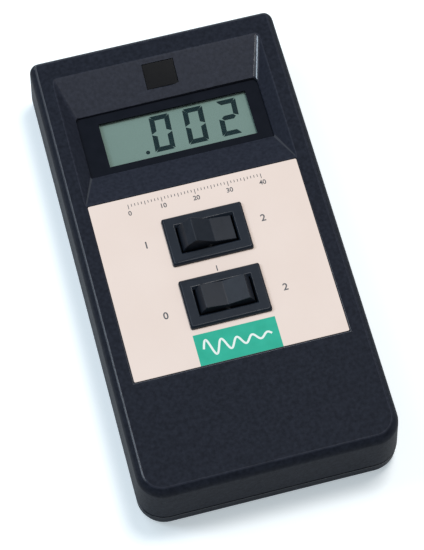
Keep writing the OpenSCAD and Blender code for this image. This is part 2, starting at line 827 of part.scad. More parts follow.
// Chamfered rim of a switch
module rim_prism() {
    half_w = rim_w / 2;
    half_l = rim_l / 2;
    intersection() {
        translate([0, half_l, 0]) rotate([90, 0, 0]) linear_extrude(rim_l)
            polygon([[-half_w, 0], [half_w, 0], [half_w, rim_t - rim_edge], [half_w - rim_edge, rim_t],
                [rim_edge - half_w, rim_t], [-half_w, rim_t - rim_edge]]);
        translate([-half_w, 0, 0]) rotate([90, 0, 90]) linear_extrude(rim_w)
            polygon([[-half_l, 0], [half_l, 0], [half_l, rim_t - rim_edge], [half_l - rim_edge, rim_t],
                [rim_edge - half_l, rim_t], [-half_l, rim_t - rim_edge]]);
    }
}

// Hollow of a switch, which narrows from the rim to the body's cavity
module switch_hollow() {
    half_w = cavity_w / 2;
    half_l = cavity_l / 2;
    wide = half_w + flare_w;
    long = half_l + flare_l;
    low = rim_t - flare_d;
    top = rim_t + over;
    intersection() {
        translate([0, body_l / 2, 0]) rotate([90, 0, 0]) linear_extrude(body_l)
            polygon([[-half_w, -cavity_d], [half_w, -cavity_d], [half_w, low], [wide, rim_t], [wide, top],
                [-wide, top], [-wide, rim_t], [-half_w, low]]);
        translate([-body_w / 2, 0, 0]) rotate([90, 0, 90]) linear_extrude(body_w)
            polygon([[-half_l, -cavity_d], [half_l, -cavity_d], [half_l, low], [long, rim_t], [long, top],
                [-long, top], [-long, rim_t], [-half_l, low]]);
    }
}

// Body of a switch at y, its rim resting on the label
module switch_body(y) color(slate) translate([0, y, case_t]) difference() {
    union() {
        rim_prism();
        block(0, 0, -body_d, body_w, body_l, body_d + rim_t / 2);
        for (turn = [0, 180]) rotate([0, 0, turn]) translate([body_w / 2, snap_l / 2, -front_wall - gap])
            rotate([90, 0, 0]) linear_extrude(snap_l)
                polygon([[-over, 0], [snap_out, 0], [0, -snap_h], [-over, -snap_h]]);
    }
    switch_hollow();
    rod_y(0, pivot_z - case_t, -pin_half - push_gap, pin_half + push_gap, pin_r + push_gap);
    for (x = [-lug_x, 0, lug_x])
        block(x, 0, -body_d - over, lug_t + 2 * lug_fit, lug_l + 2 * lug_fit, floor_t + 2 * over);
}

// Rocker of a switch at y, turned by tilt about its pivot
module rocker(y, tilt) color(slate) translate([0, y, pivot_z]) rotate([0, tilt, 0]) difference() {
    union() {
        intersection() {
            translate([0, rocker_l / 2, 0]) rotate([90, 0, 0]) linear_extrude(rocker_l)
                polygon([[-rocker_half, rocker_top], [0, rocker_top - rocker_dip], [rocker_half, rocker_top],
                    [shoulder_half, pivot_below], [skirt_r, 0], [skirt_r, -skirt_drop],
                    [-skirt_r, -skirt_drop], [-skirt_r, 0], [-shoulder_half, pivot_below]]);
            rod_y(0, 0, -cavity_l, cavity_l, skirt_r);
        }
        translate([0, 0, -plunger_boss_low]) cylinder(h = plunger_boss_low - pin_r, r = plunger_boss_r);
    }
    rod_y(0, 0, -cavity_l, cavity_l, pin_r + run_gap);
    translate([0, 0, -plunger_boss_low - over])
        cylinder(h = plunger_boss_low - plunger_bore_top + over, r = plunger_bore_r);
}

module pivot_pin(y) color(metal) rod_y(0, pivot_z, y - pin_half, y + pin_half, pin_r);

module plunger(y, tilt) color("#d9d4c4") translate([0, y, pivot_z]) rotate([0, tilt, 0])
    translate([0, 0, plunger_r - plunger_tip]) {
        cylinder(h = plunger_tip - plunger_top - plunger_r, r = plunger_r);
        sphere(r = plunger_r);
    }

// Helix of round wire, closed at both ends
module coil(r, low, high) {
    rings = spring_turns * spring_rings;
    centres = [for (i = [0 : rings]) [360 * i / spring_rings, low + (high - low) * i / rings]];
    points = [for (c = centres, j = [0 : spring_sides - 1]) let (a = 360 * j / spring_sides)
        [(r + spring_wire_r * cos(a)) * cos(c[0]), (r + spring_wire_r * cos(a)) * sin(c[0]),
            c[1] + spring_wire_r * sin(a)]];
    sides = [for (i = [0 : rings - 1], j = [0 : spring_sides - 1]) let (k = (j + 1) % spring_sides)
        [i * spring_sides + j, i * spring_sides + k, (i + 1) * spring_sides + k, (i + 1) * spring_sides + j]];
    start = [for (j = [0 : spring_sides - 1]) spring_sides - 1 - j];
    end = [for (j = [0 : spring_sides - 1]) rings * spring_sides + j];
    polyhedron(points, concat(sides, [start, end]), convexity = spring_sides);
}

module plunger_spring(y, tilt) color(metal) translate([0, y, pivot_z]) rotate([0, tilt, 0])
    coil(spring_r, spring_wire_r - plunger_top, -plunger_bore_top - spring_wire_r);

// Rocking arm that closes one side's contact, turned by tilt about its foot
module contact_arm(y, tilt) color(brass) translate([0, y, arm_z]) rotate([0, tilt, 0]) {
    rise = arm_rise / arm_half;
    rod_y(0, 0, -arm_l / 2, arm_l / 2, fulcrum_r);
    translate([0, arm_l / 2, 0]) rotate([90, 0, 0]) linear_extrude(arm_l)
        polygon([[0, 0], [arm_half, arm_half * rise], [arm_half, arm_half * rise + arm_t], [0, arm_t],
            [-arm_half, arm_half * rise + arm_t], [-arm_half, arm_half * rise]]);
    for (side = [-1, 1]) translate([side * lug_x, 0, lug_x * rise]) rotate([0, -side * atan(rise), 0])
        translate([0, 0, -pad_t]) cylinder(h = pad_t + arm_t / 2, r = pad_r);
}

// Three lugs through the floor of a switch's body, the outer two with a contact stud
module terminals(y) color(metal) translate([0, y, 0]) for (x = [-lug_x, 0, lug_x]) difference() {
    union() {
        block(x, 0, lug_foot_z, lug_t, lug_l, (x == 0 ? arm_z - gap : stud_z - stud_h) - lug_foot_z);
        if (x != 0) translate([x, 0, stud_z - stud_h]) cylinder(h = stud_h, r = pad_r);
    }
    translate([x - lug_t, 0, lug_foot_z + 2 * lug_eye_r]) rotate([0, 90, 0])
        cylinder(h = 2 * lug_t, r = lug_eye_r);
    if (x == 0) rod_y(0, arm_z, -lug_l, lug_l, fulcrum_r + run_gap);
}

module mode_switch_body() switch_body(mode_y);

module mode_rocker() rocker(mode_y, rocker_throw);

module mode_pivot_pin() pivot_pin(mode_y);

module mode_plunger() plunger(mode_y, rocker_throw);

module mode_plunger_spring() plunger_spring(mode_y, rocker_throw);

module mode_contact_arm() contact_arm(mode_y, rocker_throw * arm_share);

module mode_terminals() terminals(mode_y);

module power_switch_body() switch_body(power_y);

module power_rocker() rocker(power_y, 0);

module power_pivot_pin() pivot_pin(power_y);

module power_plunger() plunger(power_y, 0);

module power_plunger_spring() plunger_spring(power_y, 0);

module power_contact_arm() contact_arm(power_y, 0);

module power_terminals() terminals(power_y);

module switch_leads() color("#c8c9cc") for (x = [-lug_x, 0, lug_x]) {
    near = board_low_y + 2 * lead_r;
    far = board_low_y + 4 * lead_r;
    side = x + (x < 0 ? -lead_side : lead_side);
    lead([[x, mode_y, lug_foot_z], [x, mode_y, high_run_z], [x, near, high_run_z], [x, near, board_foot_z]],
        thin_lead_r);
    lead([[x, power_y, lug_foot_z], [x, power_y, low_run_z], [side, power_y, low_run_z],
        [side, far, low_run_z], [side, far, board_foot_z]], thin_lead_r);
}

module sensor_jack() color(brass) difference() {
    union() {
        rod_y(0, jack_z, flange_y, flange_face_y, jack_flange_r, 6);
        rod_y(0, jack_z, flange_y, jack_end_y, jack_r);
        rod_y(0, jack_z, jack_foot_y, flange_y, jack_body_r);
    }
    rod_y(0, jack_z, jack_end_y - jack_bore_d, jack_end_y + over, jack_bore_r);
    rod_y(0, jack_z, jack_foot_y - over, jack_end_y, insulator_r + push_gap);
}

module jack_insulator() color("#f0efe9") difference() {
    rod_y(0, jack_z, jack_foot_y, jack_end_y - jack_bore_d, insulator_r);
    rod_y(0, jack_z, jack_foot_y - over, jack_end_y, contact_r + push_gap);
}

module jack_contact() color(brass) difference() {
    rod_y(0, jack_z, jack_foot_y - contact_out, jack_end_y - contact_in, contact_r);
    rod_y(0, jack_z, jack_end_y - contact_in - contact_bore_d, jack_end_y, contact_bore_r);
}

module jack_washer() color(metal) difference() {
    rod_y(0, jack_z, inner_face_y - jack_washer_t, inner_face_y, jack_washer_r);
    rod_y(0, jack_z, inner_face_y - jack_washer_t - over, inner_face_y + over, jack_body_r + gap);
}

module jack_nut() color(brass) difference() {
    rod_y(0, jack_z, inner_face_y - jack_washer_t - jack_nut_t, inner_face_y - jack_washer_t, jack_nut_r, 6);
    rod_y(0, jack_z, inner_face_y - jack_washer_t - jack_nut_t - over, inner_face_y, jack_body_r + run_gap);
}

module jack_lead() color("#d8d6cf") {
    y = jack_foot_y - contact_out;
    run_z = board_z + 2 * lead_r;
    down_y = board_top_y - 4 * lead_r;
    lead([[0, y, jack_z], [0, y - lead_r, jack_z], [0, y - 3 * lead_r, run_z], [0, down_y, run_z],
        [0, down_y, board_z]], lead_r);
}

front_case();
rear_case();
battery_door();
case_screws();
threaded_inserts();
face_label();
square_window();
display_bezel();
display_lens();
lcd_front_glass();
lcd_rear_glass();
lcd_reflector();
contact_strips();
main_board();
board_screws();
converter_chip();
converter_pins();
amplifier_chips();
amplifier_pins();
film_capacitors();
electrolytic_capacitors();
resistors();
trimmer_bodies();
gain_rotor();
zero_rotor();
battery_case();
battery_terminals();
snap_connector();
snap_studs();
battery_leads();
battery_pad();
mode_switch_body();
mode_rocker();
mode_pivot_pin();
mode_plunger();
mode_plunger_spring();
mode_contact_arm();
mode_terminals();
power_switch_body();
power_rocker();
power_pivot_pin();
power_plunger();
power_plunger_spring();
power_contact_arm();
power_terminals();
switch_leads();
sensor_jack();
jack_insulator();
jack_contact();
jack_washer();
jack_nut();
jack_lead();
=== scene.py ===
import math

import bmesh
import bpy
from mathutils import Matrix, Vector


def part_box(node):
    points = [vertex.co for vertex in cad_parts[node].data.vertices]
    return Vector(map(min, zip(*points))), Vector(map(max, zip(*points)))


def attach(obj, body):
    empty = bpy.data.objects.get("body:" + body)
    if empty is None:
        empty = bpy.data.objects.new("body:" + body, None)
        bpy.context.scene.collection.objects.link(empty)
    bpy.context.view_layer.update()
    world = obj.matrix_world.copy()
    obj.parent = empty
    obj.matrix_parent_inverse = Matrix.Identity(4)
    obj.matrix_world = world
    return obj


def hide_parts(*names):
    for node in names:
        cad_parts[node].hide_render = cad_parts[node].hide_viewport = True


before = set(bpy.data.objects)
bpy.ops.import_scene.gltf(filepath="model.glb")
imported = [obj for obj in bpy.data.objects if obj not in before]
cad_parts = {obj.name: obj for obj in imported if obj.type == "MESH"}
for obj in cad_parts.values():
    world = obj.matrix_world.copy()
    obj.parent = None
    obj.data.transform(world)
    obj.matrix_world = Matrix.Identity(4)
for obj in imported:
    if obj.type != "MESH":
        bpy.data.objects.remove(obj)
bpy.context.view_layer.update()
mm = 0.001
print("frame loaded")


# View and light

photoView = {
    "azimuth": -13.66, "elevation": 65.0, "roll": -1.06,
    "distance": 666.2, "target": (-1.93, -10.58, 24.5),
    "lens": 196.7, "sensorWidth": 36.0, "clipStart": 0.01, "clipEnd": 20,
}
# Lamp sizes, places and the aim are in millimetres
studio = {
    "keySize": 240, "keyPlace": (190, 120, 900), "keyWatts": 4.6, "keyColour": (1.0, 0.98, 0.96),
    "sideSize": 240, "sidePlace": (-560, 180, 680), "sideWatts": 1.9, "sideColour": (0.72, 0.86, 1.0),
    "fillSize": 200, "fillPlace": (-200, 260, 540), "fillWatts": 0.5, "fillColour": (0.72, 0.86, 1.0),
    "worldColour": (0.93, 0.97, 1.0), "worldStrength": 0.26, "aim": (0, 0, 10),
}


def placeCamera(view):
    azimuth = math.radians(view["azimuth"])
    elevation = math.radians(view["elevation"])
    roll = math.radians(view["roll"])
    back = Vector((math.sin(azimuth) * math.cos(elevation),
                   -math.cos(azimuth) * math.cos(elevation), math.sin(elevation)))
    right = Vector((math.cos(azimuth), math.sin(azimuth), 0))
    up = back.cross(right)
    turnedRight = math.cos(roll) * right + math.sin(roll) * up
    turnedUp = math.cos(roll) * up - math.sin(roll) * right
    data = bpy.data.cameras.new("photoCamera")
    data.lens = view["lens"]
    data.sensor_fit = "HORIZONTAL"
    data.sensor_width = view["sensorWidth"]
    data.clip_start = view["clipStart"]
    data.clip_end = view["clipEnd"]
    camera = bpy.data.objects.new("photoCamera", data)
    turn = Matrix((turnedRight, turnedUp, back)).transposed().to_4x4()
    place = Vector(view["target"]) * mm + back * view["distance"] * mm
    camera.matrix_world = Matrix.Translation(place) @ turn
    bpy.context.scene.collection.objects.link(camera)
    bpy.context.scene.camera = camera


def addSoftbox(lamp):
    data = bpy.data.lights.new(lamp + "Lamp", "AREA")
    data.color = studio[lamp + "Colour"]
    data.shape = "SQUARE"
    data.size = studio[lamp + "Size"] * mm
    data.energy = studio[lamp + "Watts"]
    softbox = bpy.data.objects.new(lamp + "Lamp", data)
    start = Vector(studio[lamp + "Place"]) * mm
    turn = (start - Vector(studio["aim"]) * mm).to_track_quat("Z", "Y").to_matrix().to_4x4()
    softbox.matrix_world = Matrix.Translation(start) @ turn
    bpy.context.scene.collection.objects.link(softbox)


placeCamera(photoView)
for lamp in ("key", "side", "fill"):
    addSoftbox(lamp)
world = bpy.data.worlds.new("studioWorld")
bpy.context.scene.world = world
world.use_nodes = True
sky = world.node_tree.nodes["Background"]
sky.inputs["Color"].default_value = (*studio["worldColour"], 1)
sky.inputs["Strength"].default_value = studio["worldStrength"]
bpy.context.scene.view_settings.view_transform = "Standard"
print("camera and lamps placed")


# Materials

# Detail and roughness of the three noises, and the span of values that a noise fills
noiseForm = {
    "patchDetail": 4.0, "patchRoughness": 0.5, "glossShare": 0.37, "glossDetail": 5.0,
    "glossRoughness": 0.6, "grainDetail": 2.0, "grainRoughness": 0.55, "low": 0.3, "high": 0.7,
}


# New material with its Principled shader ready; fixed holds the shader's own values
def startMaterial(name, fixed):
    material = bpy.data.materials.new(name)
    material.use_nodes = True
    shader = material.node_tree.nodes["Principled BSDF"]
    for socket, value in fixed.items():
        shader.inputs[socket].default_value = value
    return material, material.node_tree, shader


def addNode(tree, kind, values=None, **options):
    node = tree.nodes.new(kind)
    for option, value in options.items():
        setattr(node, option, value)
    for socket, value in (values or {}).items():
        node.inputs[socket].default_value = value
    return node


# Object coordinates, scaled along the axes
def objectPlace(tree, stretch):
    place = addNode(tree, "ShaderNodeTexCoord")
    mapping = addNode(tree, "ShaderNodeMapping", {"Scale": stretch})
    tree.links.new(place.outputs["Object"], mapping.inputs["Vector"])
    return mapping.outputs["Vector"]


# Noise of a size in millimetres; kind is patch, gloss or grain
def addNoise(tree, place, size, kind):
    noise = addNode(tree, "ShaderNodeTexNoise", {
        "Scale": 1 / (size * mm), "Detail": noiseForm[kind + "Detail"],
        "Roughness": noiseForm[kind + "Roughness"]})
    tree.links.new(place, noise.inputs["Vector"])
    return noise.outputs["Fac"]


# Spreads a noise over the span from low to high
def addRange(tree, source, low, high):
    span = addNode(tree, "ShaderNodeMapRange", {
        "From Min": noiseForm["low"], "From Max": noiseForm["high"], "To Min": low, "To Max": high})
    tree.links.new(source, span.inputs["Value"])
    return span.outputs["Result"]


def mixColours(tree, factor, first, second):
    mix = addNode(tree, "ShaderNodeMix", data_type="RGBA")
    tree.links.new(factor, mix.inputs["Factor"])
    mix.inputs[6].default_value = (*first, 1)  # the two colour sockets
    mix.inputs[7].default_value = (*second, 1)
    return mix.outputs[2]


def addBump(tree, shader, height, depth):
    bump = addNode(tree, "ShaderNodeBump", {"Strength": 1.0, "Distance": depth * mm})
    tree.links.new(height, bump.inputs["Height"])
    tree.links.new(bump.outputs["Normal"], shader.inputs["Normal"])


# Moulded, printed or soft surface: two close colours in cloudy patches, an uneven gloss
# and a fine grain in relief
def grained(name, look):
    material, tree, shader = startMaterial(name, {
        "Specular IOR Level": look.get("specular", 0.5), "Metallic": look.get("metallic", 0.0),
        "Alpha": look.get("alpha", 1.0)})
    place = objectPlace(tree, look.get("stretch", (1, 1, 1)))
    patches = addNoise(tree, place, look["patch"], "patch")
    colour = mixColours(tree, addRange(tree, patches, 0, 1), look["colour"], look["tint"])
    tree.links.new(colour, shader.inputs["Base Color"])
    gloss = addNoise(tree, place, look["patch"] * noiseForm["glossShare"], "gloss")
    tree.links.new(addRange(tree, gloss, look["smooth"], look["rough"]), shader.inputs["Roughness"])
    addBump(tree, shader, addNoise(tree, place, look["grain"], "grain"), look["relief"])
    return material


# Colours are linear; patch, grain and relief are in millimetres
finishes = {
    "casePlastic": {"colour": (0.009, 0.0112, 0.018), "tint": (0.0175, 0.0211, 0.032), "patch": 1.1,
                    "smooth": 0.5, "rough": 0.62, "grain": 0.3, "relief": 0.03, "specular": 0.06},
    # painted highlight and wear: paler, glossier edge strips that give the ridge and edges light lines
    "caseWearAndHighlight": {"colour": (0.019, 0.023, 0.033), "tint": (0.026, 0.03, 0.042), "patch": 5,
                   "smooth": 0.3, "rough": 0.42, "grain": 0.3, "relief": 0.012, "specular": 0.6},
    # painted highlight: a paler, glossier strip that gives the recess creases a glint
    "creaseHighlight": {"colour": (0.03, 0.035, 0.045), "tint": (0.04, 0.045, 0.058), "patch": 4,
                     "smooth": 0.14, "rough": 0.22, "grain": 0.5, "relief": 0.004, "specular": 0.7},
    # painted highlight: a much paler, glossy strip that draws a light line along the rim of the label's
    # pocket
    "pocketHighlight": {"colour": (0.075, 0.08, 0.095), "tint": (0.09, 0.096, 0.112), "patch": 4,
                     "smooth": 0.2, "rough": 0.28, "grain": 0.5, "relief": 0.004, "specular": 0.8},
    # painted light: a paler copy of the case finish for the recess and the ridge strips
    "recessPaintedLight": {"colour": (0.0158, 0.0186, 0.0284), "tint": (0.0254, 0.0293, 0.0436), "patch": 1.1,
                      "smooth": 0.42, "rough": 0.54, "grain": 0.3, "relief": 0.02, "specular": 0.1},
    "switchPlastic": {"colour": (0.0125, 0.0165, 0.024), "tint": (0.0155, 0.02, 0.029), "patch": 3,
                      "smooth": 0.34, "rough": 0.46, "grain": 0.2, "relief": 0.008, "specular": 0.25},
    "rimPlastic": {"colour": (0.0118, 0.0168, 0.0255), "tint": (0.0142, 0.0198, 0.0295), "patch": 3,
                   "smooth": 0.4, "rough": 0.5, "grain": 0.2, "relief": 0.01, "specular": 0.1},
    # painted highlight and wear: paler, glossier strips along the top edges of the switch rims
    "switchWearAndHighlight": {"colour": (0.017, 0.022, 0.032), "tint": (0.021, 0.027, 0.038), "patch": 3,
                     "smooth": 0.3, "rough": 0.42, "grain": 0.2, "relief": 0.006, "specular": 0.3},
    "bezelPlastic": {"colour": (0.006, 0.0078, 0.0125), "tint": (0.008, 0.0098, 0.0155), "patch": 3,
                     "smooth": 0.42, "rough": 0.52, "grain": 0.2, "relief": 0.008, "specular": 0.03},
    "windowPlastic": {"colour": (0.003, 0.0038, 0.0052), "tint": (0.004, 0.0048, 0.0064), "patch": 9,
                      "smooth": 0.24, "rough": 0.34, "grain": 0.6, "relief": 0.002, "specular": 0.05},
    "labelFilm": {"colour": (0.82, 0.682, 0.606), "tint": (0.848, 0.714, 0.64), "patch": 22,
                  "smooth": 0.4, "rough": 0.52, "grain": 0.15, "relief": 0.003, "specular": 0.15},
    "darkInk": {"colour": (0.05, 0.055, 0.065), "tint": (0.09, 0.095, 0.105), "patch": 1.5,
                "smooth": 0.45, "rough": 0.6, "grain": 0.1, "relief": 0.001},
    "greenInk": {"colour": (0.022, 0.4, 0.27), "tint": (0.03, 0.46, 0.32), "patch": 4,
                 "smooth": 0.4, "rough": 0.5, "grain": 0.12, "relief": 0.001, "specular": 0.1},
    "whiteInk": {"colour": (0.74, 0.82, 0.77), "tint": (0.82, 0.87, 0.83), "patch": 3,
                 "smooth": 0.4, "rough": 0.5, "grain": 0.12, "relief": 0.001},
    "displayGlass": {"colour": (0.168, 0.25, 0.218), "tint": (0.182, 0.268, 0.236), "patch": 25,
                     "smooth": 0.2, "rough": 0.28, "grain": 0.5, "relief": 0.001, "specular": 0.1},
    "segmentInk": {"colour": (0.002, 0.015, 0.018), "tint": (0.003, 0.02, 0.023), "patch": 3,
                   "smooth": 0.3, "rough": 0.4, "grain": 0.3, "relief": 0.001, "specular": 0.05},
    "clearLens": {"colour": (0.3, 0.34, 0.34), "tint": (0.35, 0.38, 0.38), "patch": 20,
                  "smooth": 0.05, "rough": 0.08, "grain": 2, "relief": 0.001, "specular": 0.1,
                  "alpha": 0.015},
    "boardLaminate": {"colour": (0.012, 0.075, 0.03), "tint": (0.02, 0.11, 0.045), "patch": 3,
                      "smooth": 0.25, "rough": 0.35, "grain": 0.5, "relief": 0.02},
    "chipPlastic": {"colour": (0.011, 0.011, 0.012), "tint": (0.016, 0.016, 0.017), "patch": 2,
                    "smooth": 0.5, "rough": 0.62, "grain": 0.1, "relief": 0.01},
    "filmCoating": {"colour": (0.36, 0.03, 0.018), "tint": (0.45, 0.045, 0.025), "patch": 3,
                    "smooth": 0.18, "rough": 0.28, "grain": 0.6, "relief": 0.02},
    "canSleeve": {"colour": (0.015, 0.03, 0.09), "tint": (0.02, 0.038, 0.11), "patch": 2,
                  "smooth": 0.22, "rough": 0.3, "grain": 0.5, "relief": 0.006},
    "resistorCoat": {"colour": (0.5, 0.35, 0.2), "tint": (0.58, 0.43, 0.27), "patch": 1.5,
                     "smooth": 0.25, "rough": 0.35, "grain": 0.3, "relief": 0.012},
    "trimmerPlastic": {"colour": (0.015, 0.06, 0.25), "tint": (0.02, 0.075, 0.29), "patch": 2,
                       "smooth": 0.4, "rough": 0.5, "grain": 0.15, "relief": 0.008},
    "stripRubber": {"colour": (0.5, 0.42, 0.43), "tint": (0.3, 0.26, 0.27), "patch": 0.4,
                    "smooth": 0.6, "rough": 0.7, "grain": 0.2, "relief": 0.01, "stretch": (1, 0.01, 0.01)},
    "snapVinyl": {"colour": (0.01, 0.01, 0.011), "tint": (0.016, 0.016, 0.017), "patch": 3,
                  "smooth": 0.4, "rough": 0.5, "grain": 0.3, "relief": 0.02},
    "redInsulation": {"colour": (0.4, 0.02, 0.015), "tint": (0.48, 0.028, 0.02), "patch": 2,
                      "smooth": 0.3, "rough": 0.4, "grain": 0.4, "relief": 0.006},
    "darkInsulation": {"colour": (0.012, 0.012, 0.013), "tint": (0.018, 0.018, 0.019), "patch": 2,
                       "smooth": 0.3, "rough": 0.4, "grain": 0.4, "relief": 0.006},
    "paleInsulation": {"colour": (0.55, 0.55, 0.52), "tint": (0.62, 0.62, 0.6), "patch": 2,
                       "smooth": 0.3, "rough": 0.4, "grain": 0.4, "relief": 0.006},
    "padFoam": {"colour": (0.02, 0.02, 0.021), "tint": (0.045, 0.045, 0.047), "patch": 0.6,
                "smooth": 0.85, "rough": 0.98, "grain": 0.35, "relief": 0.2},
    "plungerPlastic": {"colour": (0.6, 0.56, 0.45), "tint": (0.66, 0.63, 0.52), "patch": 2,
                       "smooth": 0.3, "rough": 0.4, "grain": 0.2, "relief": 0.005},
    "insulatorPlastic": {"colour": (0.75, 0.74, 0.7), "tint": (0.82, 0.81, 0.77), "patch": 1,
                         "smooth": 0.3, "rough": 0.42, "grain": 0.2, "relief": 0.006},
    "batteryJacket": {"colour": (0.05, 0.075, 0.12), "tint": (0.062, 0.09, 0.14), "patch": 8,
                      "smooth": 0.2, "rough": 0.3, "grain": 1.2, "relief": 0.01},
    "paleBand": {"colour": (0.5, 0.52, 0.54), "tint": (0.56, 0.58, 0.6), "patch": 6,
                 "smooth": 0.28, "rough": 0.4, "grain": 0.9, "relief": 0.008},
    "screwSteel": {"colour": (0.5, 0.5, 0.51), "tint": (0.6, 0.6, 0.6), "patch": 0.8, "metallic": 1.0,
                   "smooth": 0.3, "rough": 0.46, "grain": 0.15, "relief": 0.01},
    "platedMetal": {"colour": (0.66, 0.65, 0.62), "tint": (0.74, 0.73, 0.7), "patch": 0.7, "metallic": 1.0,
                    "smooth": 0.2, "rough": 0.35, "grain": 0.12, "relief": 0.004},
    "pinSteel": {"colour": (0.56, 0.57, 0.58), "tint": (0.63, 0.64, 0.65), "patch": 0.6, "metallic": 1.0,
                 "smooth": 0.18, "rough": 0.28, "grain": 0.1, "relief": 0.003, "stretch": (1, 0.1, 1)},
    "turnedBrass": {"colour": (0.66, 0.47, 0.2), "tint": (0.76, 0.57, 0.27), "patch": 1.2, "metallic": 1.0,
                    "smooth": 0.22, "rough": 0.36, "grain": 0.12, "relief": 0.004},
    "reflectorFoil": {"colour": (0.55, 0.58, 0.55), "tint": (0.62, 0.65, 0.62), "patch": 3, "metallic": 1.0,
                      "smooth": 0.4, "rough": 0.5, "grain": 0.2, "relief": 0.004},
}
materials = {name: grained(name, look) for name, look in finishes.items()}
print("materials made")


# Making pieces

# Distances are in millimetres, angles in degrees
pieceRules = {
    "sharpFrom": 34, "areaWeight": 80, "mergeWithin": 0.002, "flatWithin": 0.5, "steepShare": 0.2,
    "roundFrom": 14, "segments": 2, "sliver": 0.0005,
}


def isSharp(edge, degrees):
    return len(edge.link_faces) == 2 and edge.calc_face_angle() > math.radians(degrees)


# Turns a bmesh into a finished piece that rides on its body
def finishPiece(bm, name, material, body, replaced=(), weighted=True, extras=()):
    for face in bm.faces:
        face.smooth = True
    for edge in bm.edges:
        edge.smooth = not isSharp(edge, pieceRules["sharpFrom"])
    mesh = bpy.data.meshes.new(name)
    bm.to_mesh(mesh)
    bm.free()
    for finish in (material, *extras):
        mesh.materials.append(materials[finish])
    piece = bpy.data.objects.new(name, mesh)
    bpy.context.scene.collection.objects.link(piece)
    if weighted:
        normals = piece.modifiers.new("faceNormals", "WEIGHTED_NORMAL")
        normals.keep_sharp = True
        normals.weight = pieceRules["areaWeight"]
    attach(piece, body)
    for node in replaced:
        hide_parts(node)


# Merged copy of a CAD node's mesh, with chosen groups of its edges rounded. A group's where says
# which points its edges run between, steep and below narrow it to sloping edges and to those
# nearer the battery end, and finish is the strips' place in the piece's list of materials: the
# second if none is given, a paler, glossier edge finish, partly wear from handling and partly
# painted highlight.
def roundedCopy(node, groups, cleaned=True):
    bm = bmesh.new()
    bm.from_mesh(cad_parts[node].data)
    bmesh.ops.remove_doubles(bm, verts=bm.verts, dist=pieceRules["mergeWithin"] * mm)
    bmesh.ops.dissolve_limit(bm, angle_limit=math.radians(pieceRules["flatWithin"]), verts=bm.verts,
                             edges=bm.edges)
    for group in groups:
        chosen = []
        for edge in bm.edges:
            ends = [vert.co / mm for vert in edge.verts]
            run = ends[0] - ends[1]
            steep = abs(run.z) > pieceRules["steepShare"] * run.length
            middle = (ends[0] + ends[1]) / 2
            if (isSharp(edge, group.get("sharper", pieceRules["roundFrom"]))
                    and all(group["where"](end) for end in ends)
                    and steep == group.get("steep", steep) and middle.y < group.get("below", math.inf)):
                chosen.append(edge)
        strips = bmesh.ops.bevel(bm, geom=chosen, offset=group["width"] * mm, offset_type="OFFSET",
                                 segments=group.get("segments", pieceRules["segments"]), profile=0.5,
                                 affect="EDGES", clamp_overlap=group.get("clamped", False), material=-1)
        for face in strips["faces"]:
            face.material_index = group.get("finish", 1)
    if cleaned:
        bmesh.ops.dissolve_degenerate(bm, dist=pieceRules["sliver"] * mm, edges=bm.edges)
    return bm


def near(value, target, slack=0.03):
    return abs(value - target) < slack


def cutThrough(bm, point, normal):
    bmesh.ops.bisect_plane(bm, geom=bm.verts[:] + bm.edges[:] + bm.faces[:], plane_co=point,
                           plane_no=normal)


# Gives a flat sheet its thickness, upwards
def thicken(bm, thickness):
    raised = bmesh.ops.extrude_face_region(bm, geom=bm.faces[:])
    verts = [part for part in raised["geom"] if isinstance(part, bmesh.types.BMVert)]
    bmesh.ops.translate(bm, vec=(0, 0, thickness * mm), verts=verts)
    bmesh.ops.recalc_face_normals(bm, faces=bm.faces)


# The two case shells and the battery door. Heights are above the rest face, x is across and y
# runs from the battery end to the display end.

shellForm = {
    "faceHeight": 24.5, "flareHeight": 22.6, "wellHeight": 20.3, "slack": 0.05,
    "outlineSide": 32.6, "outlineEnd": 64.6, "ridgeRound": 0.34, "flareRound": 1.25,
    "leftRidge": -35.5, "ridgeDepth": 0.4, "ridgeArea": 60,
    "recessSide": 31.9, "recessTop": 64.0, "recessFoot": 20.35, "recessRound": 0.3,
    "creaseSide": 27, "upperCrease": 50, "lowerCrease": 32, "creaseRound": 0.9,
    "pocketSide": 31.7, "pocketFoot": -37.55, "pocketTop": 19.95, "pocketDepth": 0.3,
    "pocketRound": 0.28, "pocketSlack": 0.1,
    "rearTop": 6.3, "rearSide": 37, "rearEnd": 70.5, "partingRound": 0.15,
}
shellFinish = {"plain": 0, "highlight": 1, "recess": 2, "crease": 3, "pocket": 4}
doorForm = {"underside": 0.45, "gripSide": 12, "gripFrom": -62, "gripRound": 0.12}


def onOutline(place):
    return abs(place.x) > shellForm["outlineSide"] or abs(place.y) > shellForm["outlineEnd"]


# On the recess, and not on the floor of the label's pocket
def onRecess(place):
    slack = shellForm["slack"]
    inside = abs(place.x) < shellForm["recessSide"] + slack
    return (inside and shellForm["recessFoot"] - slack < place.y < shellForm["recessTop"] + slack
            and place.z > shellForm["wellHeight"] - slack
            and not near(place.z, shellForm["faceHeight"] - shellForm["pocketDepth"],
                         shellForm["pocketSlack"]))


# On a corner crease of the recess: side is 1 for right, -1 for left
def onCrease(place, side, upper):
    reached = place.y > shellForm["upperCrease"] if upper else place.y < shellForm["lowerCrease"]
    return onRecess(place) and place.x * side > shellForm["creaseSide"] and reached


# On the upper rim of the label's pocket
def onPocket(place):
    return (near(place.z, shellForm["faceHeight"]) and near(abs(place.x), shellForm["pocketSide"])
            and shellForm["pocketFoot"] - shellForm["slack"] < place.y
            and place.y < shellForm["pocketTop"] + shellForm["slack"])


